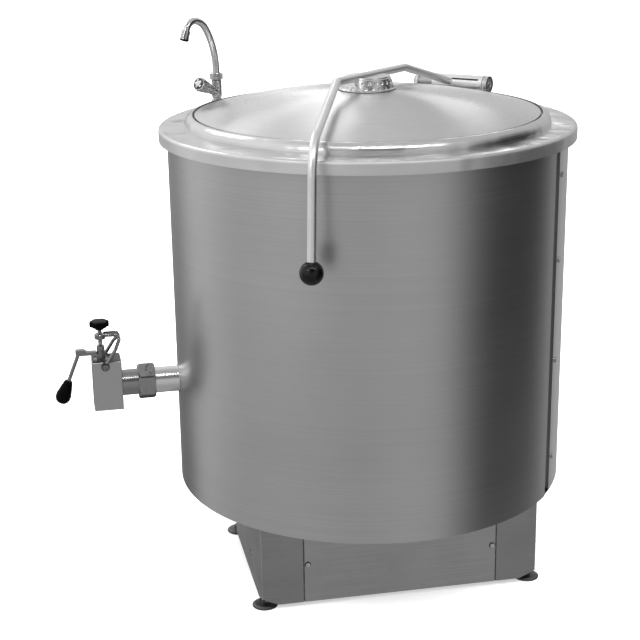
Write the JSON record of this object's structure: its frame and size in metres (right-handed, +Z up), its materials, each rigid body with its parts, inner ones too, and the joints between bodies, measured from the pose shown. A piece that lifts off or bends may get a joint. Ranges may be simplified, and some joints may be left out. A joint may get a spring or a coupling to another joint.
{
  "type": "steam cooking kettle",
  "caption": "Round steam jacketed cooking kettle with a hinged domed lid, swivel water tap and clamped plug drain valve on a square base.",
  "frame": {"origin": "centre of the four levelling feet at floor level; the kettle axis is at X 0, Y 0.078", "axes": "+Z up, -Y is the front of the base, the drain valve points to -X"},
  "size_m": [1.0275, 0.8343, 1.0634],
  "materials": {
    "casing_steel": "vertical brushed stainless sheet",
    "rim_steel": "turned satin stainless",
    "lid_steel": "polished stainless",
    "base_steel": "satin stainless sheet",
    "inner_steel": "mill finish stainless",
    "polished_steel": "polished stainless",
    "valve_metal": "machined stainless",
    "black_plastic": "glossy black",
    "dark_plastic": "matt black",
    "seal_rubber": "food grade seal",
    "insulation": "mineral wool",
    "bush_brass": "sintered bronze",
    "spring_steel": "oiled spring wire"
  },
  "bodies": {
    "kettle": {"outer_casing": "casing_steel", "service_panel": "casing_steel", "service_panel_screws": "polished_steel", "panel_rails": "inner_steel", "casing_floor": "inner_steel", "rim_ring": "rim_steel", "vessel_shell": "inner_steel", "vessel_bottom": "inner_steel", "steam_jacket": "inner_steel", "insulation": "insulation", "vessel_supports": "inner_steel", "outlet_pipe": "polished_steel", "outlet_strainer": "inner_steel", "steam_inlet_pipe": "inner_steel", "condensate_pipe": "inner_steel", "safety_valve": "bush_brass", "plinth_legs": "base_steel", "front_panel": "base_steel", "panel_screws": "polished_steel", "plinth_frame": "inner_steel", "foot_front_left": "valve_metal", "foot_front_right": "valve_metal", "foot_rear_left": "valve_metal", "foot_rear_right": "valve_metal", "union_nut": "valve_metal", "union_seal": "seal_rubber", "tail_pipe": "polished_steel", "valve_body": "valve_metal", "yoke_pins": "polished_steel", "tap_body": "polished_steel", "tap_nut": "valve_metal", "spout_nut": "polished_steel", "tap_feed_pipe": "inner_steel", "hinge_shaft": "valve_metal", "hinge_bracket": "rim_steel", "hinge_bolts": "valve_metal", "hinge_cap": "polished_steel"},
    "lid": {"lid_shell": "lid_steel", "lid_gasket": "seal_rubber", "lid_hub": "polished_steel", "backing_plate": "inner_steel", "hub_bolts": "valve_metal", "lid_arm": "polished_steel", "arm_ball": "black_plastic", "hinge_bushes": "bush_brass", "torsion_spring": "spring_steel"},
    "drain_plug": {"valve_plug": "valve_metal", "plug_lever": "polished_steel", "lever_grip": "black_plastic"},
    "yoke": {"yoke": "polished_steel"},
    "clamp_screw": {"clamp_screw": "polished_steel"},
    "clamp_knob": {"clamp_knob": "black_plastic"},
    "spout": {"tap_spout": "polished_steel", "aerator": "polished_steel"},
    "tap_handle": {"tap_knob": "polished_steel", "tap_spindle": "valve_metal"}
  },
  "joints": [
    {"name": "lid_hinge", "type": "hinge", "parent": "kettle", "child": "lid", "pos_m": [0.25132, 0.35227, 0.906], "axis": [-0.7373, 0.6756, 0], "range_deg": [0, 85]},
    {"name": "drain_plug_turn", "type": "hinge", "parent": "kettle", "child": "drain_plug", "pos_m": [-0.534, 0.078, 0.42], "axis": [0, 0, 1], "range_deg": [0, 90]},
    {"name": "yoke_swing", "type": "hinge", "parent": "kettle", "child": "yoke", "pos_m": [-0.528, 0.078, 0.4315], "axis": [0, 1, 0], "range_deg": [0, 65]},
    {"name": "clamp_lift", "type": "slide", "parent": "yoke", "child": "clamp_screw", "axis": [0, 0, 1], "range_m": [0, 0.00501]},
    {"name": "clamp_turn", "type": "hinge", "parent": "clamp_screw", "child": "clamp_knob", "pos_m": [-0.534, 0.078, 0.51], "axis": [0, 0, 1], "range_deg": [0, 1440]},
    {"name": "spout_swivel", "type": "hinge", "parent": "kettle", "child": "spout", "pos_m": [-0.25335, 0.35448, 0.95], "axis": [0, 0, 1], "continuous": true},
    {"name": "tap_turn", "type": "hinge", "parent": "kettle", "child": "tap_handle", "pos_m": [-0.25335, 0.35448, 0.905], "axis": [-0.6735, -0.6172, 0.4067], "range_deg": [0, 900]}
  ],
  "couplings": [
    {"joint": "clamp_lift", "follows": "clamp_turn", "m_per_rad": 0.00019894}
  ]
}
